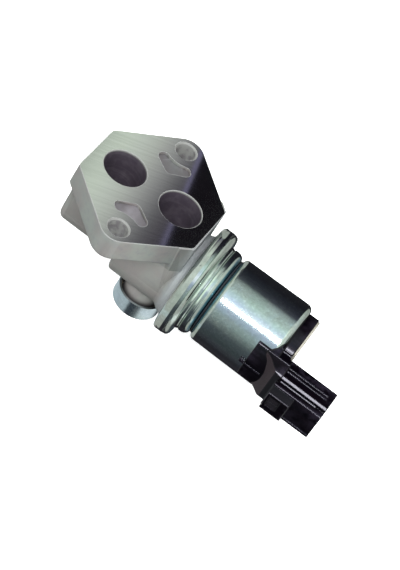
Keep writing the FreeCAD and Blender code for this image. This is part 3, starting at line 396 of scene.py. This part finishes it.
# ------------------------------------------------------------------ plastics, rubber, others
def black_plastic(name):
    m, t, p, co, geo = material(name)
    mid = t.noise(co, 260.0, 4.0, 0.6)
    grain = t.noise(co, 3600.0, 2.0, 0.5)
    flow = t.noise(t.scaled(co, scale=(60.0, 420.0, 420.0)), 1.0, 3.0, 0.55)
    base = t.mix(t.step(flow, 0.35, 0.7), srgb(2, 1, 3), srgb(6, 3, 6))
    dust = t.mul(t.step(t.noise(co, 900.0, 4.0, 0.7), 0.64, 0.80), 0.12)
    base = t.mix(dust, base, srgb(52, 48, 55))
    # painted highlight: convex edges lightened to lavender
    edge = t.mul(rim_mask(t, geo, 0.53, 0.62), t.step(mid, 0.35, 0.65))
    base = t.mix(t.mul(edge, 0.25), base, srgb(70, 64, 80))
    # matt flank of the neck; its lighter brownish tone is painted light on that side
    x, y, z = t.xyz(co)
    nx, ny, nz = t.xyz(geo.outputs["True Normal"])
    matt_lit_flank = t.mul(t.mul(t.step(x, 0.0725, 0.0730), t.step(x, 0.0830, 0.0826)),
                 t.mul(t.step(nx, -0.25, -0.40), t.mul(t.step(ny, -0.4, -0.6), t.step(z, -0.0350, -0.0345))))
    base = t.mix(t.mul(matt_lit_flank, t.step(mid, 0.2, 0.6, 0.75, 1.0)), base, srgb(40, 31, 35))
    t.put(p.inputs["Base Color"], base)
    p.inputs["Metallic"].default_value = 0.0
    r = t.add(0.12, t.mul(t.sub(mid, 0.5), 0.08))
    r = t.add(r, t.mul(dust, 0.5))
    r = t.lerp(matt_lit_flank, r, 0.5)
    t.put(p.inputs["Roughness"], r)
    p.inputs["IOR"].default_value = 1.5
    p.inputs["Specular IOR Level"].default_value = 0.34
    p.inputs["Specular Tint"].default_value = (0.96, 0.90, 1.0, 1.0)
    bev = t.new("ShaderNodeBevel", samples=16)
    bev.inputs["Radius"].default_value = 0.00050
    h = t.add(t.mul(mid, 0.22), t.add(t.mul(grain, 0.02), t.mul(flow, 0.18)))
    t.put(p.inputs["Normal"], t.bump(h, 0.09, 0.00010, bev.outputs[0]))
    return m


def simple(name, colour, rough, metallic=0.0, grain=1200.0, depth=0.0001, vary=0.12):
    """Procedural finish for small and inner pieces: tone, roughness and relief all vary."""
    m, t, p, co, geo = material(name)
    n1 = t.noise(co, grain * 0.25, 4.0, 0.6)
    n2 = t.noise(co, grain, 3.0, 0.6)
    base = t.mix(t.step(n1, 0.3, 0.7), colour, tuple(c * (1.0 - 2.0 * vary) for c in colour))
    base = t.mix(t.mul(t.step(n2, 0.5, 0.8), 0.3), base, tuple(min(1.0, c * (1.0 + 2.0 * vary)) for c in colour))
    edge = rim_mask(t, geo, 0.52, 0.60)
    base = t.mix(t.mul(edge, 0.3), base, tuple(min(1.0, c * 1.5 + 0.02) for c in colour))
    t.put(p.inputs["Base Color"], base)
    p.inputs["Metallic"].default_value = metallic
    t.put(p.inputs["Roughness"], t.add(rough, t.mul(t.sub(n1, 0.5), 0.2)))
    t.put(p.inputs["Normal"], t.bump(t.add(n2, t.mul(n1, 0.5)), 0.4, depth))
    return m


def winding_look():
    m, t, p, co, geo = material("enamelled_copper_look")
    wave = t.new("ShaderNodeTexWave", wave_type="BANDS", bands_direction="X", wave_profile="SIN")
    t.put(wave.inputs["Vector"], co)
    wave.inputs["Scale"].default_value = 800.0
    wave.inputs["Distortion"].default_value = 0.6
    n = t.noise(co, 500.0, 3.0)
    base = t.mix(t.step(n, 0.3, 0.7), srgb(168, 84, 44), srgb(190, 104, 58))
    t.put(p.inputs["Base Color"], base)
    p.inputs["Metallic"].default_value = 0.9
    t.put(p.inputs["Roughness"], t.add(0.3, t.mul(n, 0.15)))
    t.put(p.inputs["Normal"], t.bump(wave.outputs[0], 0.6, 0.0001))
    return m


looks = {
    "cast": cast_housing(),
    "can": plated("plated_steel_look", srgb(214, 224, 218), 0.14, 0.6, 1.0, bends=((0.0420, 0.0461, -0.30),)),
    "spacer": plated("grooved_steel_look", srgb(206, 216, 209), 0.13, 0.4, 0.8, bends=((0.0366, 0.0380, 0.17), (0.0390, 0.0398, 0.17), (0.0398, 0.0405, 0.09), (0.0405, 0.0412, -0.22)), blue_from=0.0418),
    "collar": plated("rolled_steel_look", srgb(212, 220, 213), 0.13, 0.3, 0.7, bends=((0.0290, 0.0322, -0.30), (0.0322, 0.0334, -0.39), (0.0351, 0.0358, 0.30), (0.0358, 0.0372, 0.60))),
    "cup": plated("pressed_steel_look", srgb(206, 216, 222), 0.22, 0.3, 0.6, along="Z"),
    "black": black_plastic("black_plastic_look"),
    "rubber": simple("seal_rubber_look", srgb(30, 34, 40), 0.55, 0.0, 2200.0, 0.00012),
    "board": simple("fibre_board_look", srgb(146, 142, 131), 0.7, 0.0, 2600.0, 0.00012, 0.06),
    "bobbin": simple("bobbin_plastic_look", srgb(58, 56, 52), 0.5),
    "copper": winding_look(),
    "tinned": simple("tinned_brass_look", srgb(214, 208, 192), 0.24, 1.0, 1800.0, 0.00005, 0.05),
    "brass": simple("seat_brass_look", srgb(206, 172, 104), 0.28, 1.0, 1500.0, 0.00005, 0.06),
    "bronze": simple("bearing_bronze_look", srgb(168, 126, 82), 0.42, 1.0, 2600.0, 0.0001, 0.1),
    "ground": simple("ground_steel_look", srgb(188, 188, 190), 0.18, 1.0, 2000.0, 0.00004, 0.04),
    "spring": simple("spring_steel_look", srgb(120, 122, 128), 0.3, 1.0, 1800.0, 0.00005, 0.08),
    "tube": simple("stainless_tube_look", srgb(196, 196, 194), 0.22, 1.0, 1800.0, 0.00005, 0.05),
    "turned": simple("valve_aluminium_look", srgb(192, 192, 192), 0.3, 1.0, 1600.0, 0.00006, 0.05),
    "felt": simple("filter_felt_look", srgb(116, 110, 100), 0.9, 0.0, 3000.0, 0.0004, 0.2),
}
wear = {
    "housing": "cast", "valve_seat": "brass", "poppet_valve": "turned", "retaining_ring": "spring",
    "valve_shaft": "ground", "front_bush": "bronze", "guide_bush": "bronze", "armature": "ground",
    "return_spring": "spring", "joint_seal": "rubber", "front_plate": "can", "spacer_cup": "spacer",
    "collar_ring": "collar", "can_seal": "rubber", "guide_sleeve": "tube", "solenoid_can": "can",
    "coil_bobbin": "bobbin", "coil_winding": "copper", "rear_yoke_plate": "can", "pole_core": "ground",
    "stop_shim": "brass", "connector_body": "black", "terminal_pins": "tinned", "end_cover_disc": "board",
    "vent_cap": "cup", "vent_filter": "felt",
}
for node, look in wear.items():
    obj = nodes_of[node]
    for s in obj.material_slots:
        s.material = looks[look]

# ------------------------------------------------------------------ return spring as its own copy of the CAD mesh, carried on the valve body
coil = bpy.data.objects.new("coil_spring", nodes_of["return_spring"].data.copy())
scene.collection.objects.link(coil)
for s in coil.material_slots:
    s.material = looks["spring"]
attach(coil, "valve_body")
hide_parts("return_spring")
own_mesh(coil)

# ------------------------------------------------------------------ floor
bpy.ops.mesh.primitive_plane_add(size=6.0, location=(0.03, 0.0, cad_low.z - 0.0003))
floor = bpy.context.active_object
floor.name = "floor"
fm, ft, fp, fco, fgeo = material("floor_look")
fn = ft.noise(fco, 40.0, 3.0)
ft.put(fp.inputs["Base Color"], ft.mix(ft.step(fn, 0.3, 0.7), (0.86, 0.86, 0.86), (0.89, 0.89, 0.885)))
fp.inputs["Roughness"].default_value = 0.8
fp.inputs["Emission Color"].default_value = (1, 1, 1, 1)
fp.inputs["Emission Strength"].default_value = 0.72
floor.data.materials.append(fm)
floor.visible_glossy = False
floor.visible_diffuse = False

# ------------------------------------------------------------------ studio surroundings
world = bpy.data.worlds.new("studio")
scene.world = world
world.use_nodes = True
w = Tree(world.node_tree)
wout = w.new("ShaderNodeOutputWorld")
wtc = w.new("ShaderNodeTexCoord")
dx, dy, dz = w.xyz(wtc.outputs["Generated"])
theta = w.math("ARCTAN2", dz, w.mul(dy, -1.0))
turn = w.add(w.mul(theta, 1.0 / (2.0 * math.pi)), 0.5)


def at(deg):
    return (deg + 180.0) / 360.0


band = w.ramp(turn, [
    (at(-180), (0.016, 0.015, 0.020)), (at(-112), (0.026, 0.024, 0.030)), (at(-96), (0.032, 0.029, 0.037)),
    (at(-80), (0.024, 0.023, 0.030)), (at(-64), (0.045, 0.047, 0.058)), (at(-48), (0.056, 0.065, 0.076)),
    (at(-32), (0.066, 0.078, 0.092)), (at(-16), (0.086, 0.102, 0.117)), (at(-4), (0.17, 0.21, 0.22)),
    (at(4), (0.30, 0.38, 0.40)), (at(16), (0.41, 0.51, 0.56)), (at(32), (0.46, 0.54, 0.72)),
    (at(39), (0.50, 0.58, 0.78)), (at(43), (1.15, 1.22, 1.36)), (at(54), (1.15, 1.22, 1.40)),
    (at(60), (0.84, 0.98, 1.22)), (at(67), (0.76, 0.92, 1.00)), (at(80), (0.70, 0.87, 0.84)),
    (at(96), (0.58, 0.70, 0.71)), (at(107), (0.37, 0.43, 0.44)), (at(115), (0.075, 0.080, 0.098)),
    (at(121), (0.052, 0.054, 0.072)), (at(130), (0.027, 0.028, 0.041)), (at(144), (0.018, 0.019, 0.029)), (at(160), (0.013, 0.012, 0.018)),
    (at(180), (0.016, 0.015, 0.020))])
pale = w.ramp(turn, [
    (at(-180), (0.40, 0.42, 0.40)), (at(-90), (0.46, 0.47, 0.45)), (at(0), (0.55, 0.60, 0.57)),
    (at(50), (0.80, 0.86, 0.82)), (at(130), (0.62, 0.67, 0.63)), (at(180), (0.44, 0.46, 0.44))])
dusk = w.ramp(turn, [
    (at(-180), (0.05, 0.05, 0.055)), (at(-60), (0.06, 0.065, 0.07)), (at(20), (0.16, 0.19, 0.20)),
    (at(60), (0.30, 0.35, 0.36)), (at(110), (0.12, 0.13, 0.13)), (at(180), (0.05, 0.05, 0.055))])
env = w.mix(w.step(dx, -0.050, -0.060), band, dusk)
env = w.mix(w.step(dx, -0.080, -0.105), env, pale)
env = w.mix(w.step(dx, 0.030, 0.042), env, dusk)
env = w.mix(w.step(dx, 0.090, 0.120), env, pale)
env = w.mix(w.step(dx, 0.92, 0.99), env, dusk)
adx = w.math("ABSOLUTE", dx)
shade = w.math("MAXIMUM", w.step(turn, at(109), at(117)), w.step(turn, at(-6), at(-22)))
shade = w.math("MAXIMUM", shade, w.mul(w.step(turn, at(18), at(30)), w.step(turn, at(84), at(72))))
env = w.mix(w.mul(w.step(adx, 0.22, 0.17), shade), env, band)
ends = w.math("MAXIMUM", w.step(turn, at(98), at(106)), w.step(turn, at(8), at(-6)))
env = w.mix(w.mul(w.mul(w.step(dx, 0.12, 0.16), w.step(dx, 0.30, 0.26)), ends), env, band)
bright = w.mul(w.step(turn, at(-4), at(14)), w.step(turn, at(96), at(76)))
env = w.mix(w.mul(w.mul(w.step(dx, 0.15, 0.19), w.step(dx, 0.36, 0.32)), bright), env, (1.16, 1.32, 1.20))
low = w.mix(w.step(dx, -0.200, -0.110), (0.56, 0.64, 0.66), (0.048, 0.057, 0.067))
low = w.mix(w.step(dx, 0.40, 0.62), low, (0.90, 0.98, 0.95))
env = w.mix(w.mul(w.step(dz, -0.615, -0.665), w.step(dz, -0.810, -0.760)), env, low)
bg = w.new("ShaderNodeBackground")
w.put(bg.inputs["Color"], env)
bg.inputs["Strength"].default_value = 1.0
plain = w.new("ShaderNodeBackground")
plain.inputs["Color"].default_value = (0.93, 0.93, 0.925, 1)
path = w.new("ShaderNodeLightPath")
mixs = w.new("ShaderNodeMixShader")
w.link(path.outputs["Is Camera Ray"], mixs.inputs[0])
w.link(bg.outputs[0], mixs.inputs[1])
w.link(plain.outputs[0], mixs.inputs[2])
w.link(mixs.outputs[0], wout.inputs["Surface"])

# ------------------------------------------------------------------ near reflector card over the flange
card_mesh = bpy.data.meshes.new("reflector_card")
c0 = Vector((0.0, 0.043, 0.042))
ex = Vector((1.0, 0.0, 0.0))
ev = Vector((0.0, -0.697, 0.7155))
corners = [c0 + ex * a_ + ev * b_ for a_, b_ in ((-0.075, -0.036), (0.030, -0.036), (0.030, 0.046), (-0.075, 0.046))]
card_mesh.from_pydata([tuple(c) for c in corners], [], [(0, 1, 2, 3)])
card = bpy.data.objects.new("reflector_card", card_mesh)
scene.collection.objects.link(card)
cm = bpy.data.materials.new("reflector_card_look")
cm.use_nodes = True
ct = Tree(cm.node_tree)
cout = ct.new("ShaderNodeOutputMaterial")
cem = ct.new("ShaderNodeEmission")
ctc = ct.new("ShaderNodeTexCoord")
cx, cy, cz = ct.xyz(ctc.outputs["Object"])
CARD = [(-50, (0.44, 0.47, 0.42)), (-36, (0.58, 0.64, 0.57)), (-30, (0.76, 0.85, 0.75)), (-25, (0.82, 0.91, 0.80)),
        (-19, (0.75, 0.81, 0.75)), (-14.6, (0.66, 0.70, 0.65)), (-10.5, (0.54, 0.555, 0.54)), (-6.3, (0.41, 0.415, 0.42)),
        (-2.0, (0.27, 0.265, 0.28)), (2.1, (0.155, 0.15, 0.168)), (6.3, (0.105, 0.095, 0.115)), (10.0, (0.060, 0.052, 0.070)),
        (30, (0.05, 0.04, 0.06))]
lin = ct.new("ShaderNodeMapRange", clamp=True)
ct.put(lin.inputs["Value"], cx)
lin.inputs["From Min"].default_value = -0.050
lin.inputs["From Max"].default_value = 0.030
cramp = ct.ramp(lin.outputs["Result"], [((mm + 50.0) / 80.0, c) for mm, c in CARD])
cv = ct.add(ct.mul(ct.sub(cy, c0.y), ev.y), ct.mul(ct.sub(cz, c0.z), ev.z))
cq = ct.sub(cx, ct.mul(cv, 0.25))
streak = ct.mul(ct.step(cq, 0.0070, 0.0079), ct.step(cq, 0.0097, 0.0089))
cramp = ct.mix(streak, cramp, (0.20, 0.185, 0.31))
cramp = ct.mix(ct.step(cq, 0.0090, 0.0098), cramp, (0.004, 0.002, 0.006))
ct.put(cem.inputs["Color"], cramp)
cem.inputs["Strength"].default_value = 1.0
ct.link(cem.outputs[0], cout.inputs["Surface"])
card_mesh.materials.append(cm)
card.visible_camera = False
card.visible_diffuse = False
card.visible_shadow = False
card.visible_transmission = False


def panel(name, where, aim, size_x, size_y, power, colour=(1, 1, 1)):
    """Soft rectangular studio light, long side along X."""
    ld = bpy.data.lights.new(name, "AREA")
    ld.shape = "RECTANGLE"
    ld.size = size_x
    ld.size_y = size_y
    ld.energy = power
    ld.color = colour
    o = bpy.data.objects.new(name, ld)
    scene.collection.objects.link(o)
    d = Vector(aim) - Vector(where)
    o.rotation_mode = "QUATERNION"
    z_ax = (-d).normalized()
    x_ax = Vector((1, 0, 0))
    x_ax = (x_ax - z_ax * x_ax.dot(z_ax)).normalized()
    y_ax = z_ax.cross(x_ax)
    rot = Matrix((x_ax, y_ax, z_ax)).transposed()
    o.rotation_quaternion = rot.to_quaternion()
    o.location = where
    return o


centre = Vector((0.04, 0.0, -0.026))
a = math.radians(48.0)
key = panel("key", centre + Vector((0.0, -math.cos(a) * 0.9, math.sin(a) * 0.9)), centre, 0.9, 0.075, 8.0, (1.0, 0.99, 0.97))
key.visible_glossy = False
gleam_on = bpy.data.collections.new("gleam_receivers")
for node in ("solenoid_can", "connector_body", "end_cover_disc"):
    gleam_on.objects.link(nodes_of[node])
for name, deg, tall, power in (("gleam_core", 45.9, 0.054, 0.78), ("gleam_halo", 46.5, 0.130, 0.20)):
    g = math.radians(deg)
    gleam = panel(name, centre + Vector((0.043, -math.cos(g) * 0.95, math.sin(g) * 0.95)), centre + Vector((0.043, 0, 0)),
                  0.154, tall, power, (0.93, 0.98, 1.0))
    gleam.visible_diffuse = False
    gleam.light_linking.receiver_collection = gleam_on
top = panel("top_soft", centre + Vector((0.0, 0.1, 1.2)), centre, 1.2, 1.2, 14.0)
top.visible_glossy = False
fill = panel("fill_soft", centre + Vector((0.9, -0.9, 0.12)), centre, 0.9, 0.9, 10.5)
fill.visible_glossy = False

# ------------------------------------------------------------------ camera at the photograph's angle
cam_data = bpy.data.cameras.new("camera")
cam = bpy.data.objects.new("camera", cam_data)
scene.collection.objects.link(cam)
right_v = (0.800398333604156, 0.4436573159286172, 0.4031509563261697)
up_v = (-0.5977415824412644, 0.5396454950852887, 0.5928640149770996)
back_v = (0.04546986017466004, -0.7155074602386537, 0.6971237810880706)
pos = (0.08491776818, -0.77401567163, 0.72781561931)
cam.matrix_world = Matrix(((right_v[0], up_v[0], back_v[0], pos[0]),
                           (right_v[1], up_v[1], back_v[1], pos[1]),
                           (right_v[2], up_v[2], back_v[2], pos[2]),
                           (0, 0, 0, 1)))
cam_data.sensor_width = 36.0
cam_data.lens = 2774.9647085701286 * 36.0 / 570.0
cam_data.clip_start = 0.01
cam_data.clip_end = 20.0
scene.camera = cam

scene.view_settings.view_transform = "Standard"
scene.view_settings.look = "None"
scene.view_settings.exposure = 0.0

bpy.context.view_layer.update()
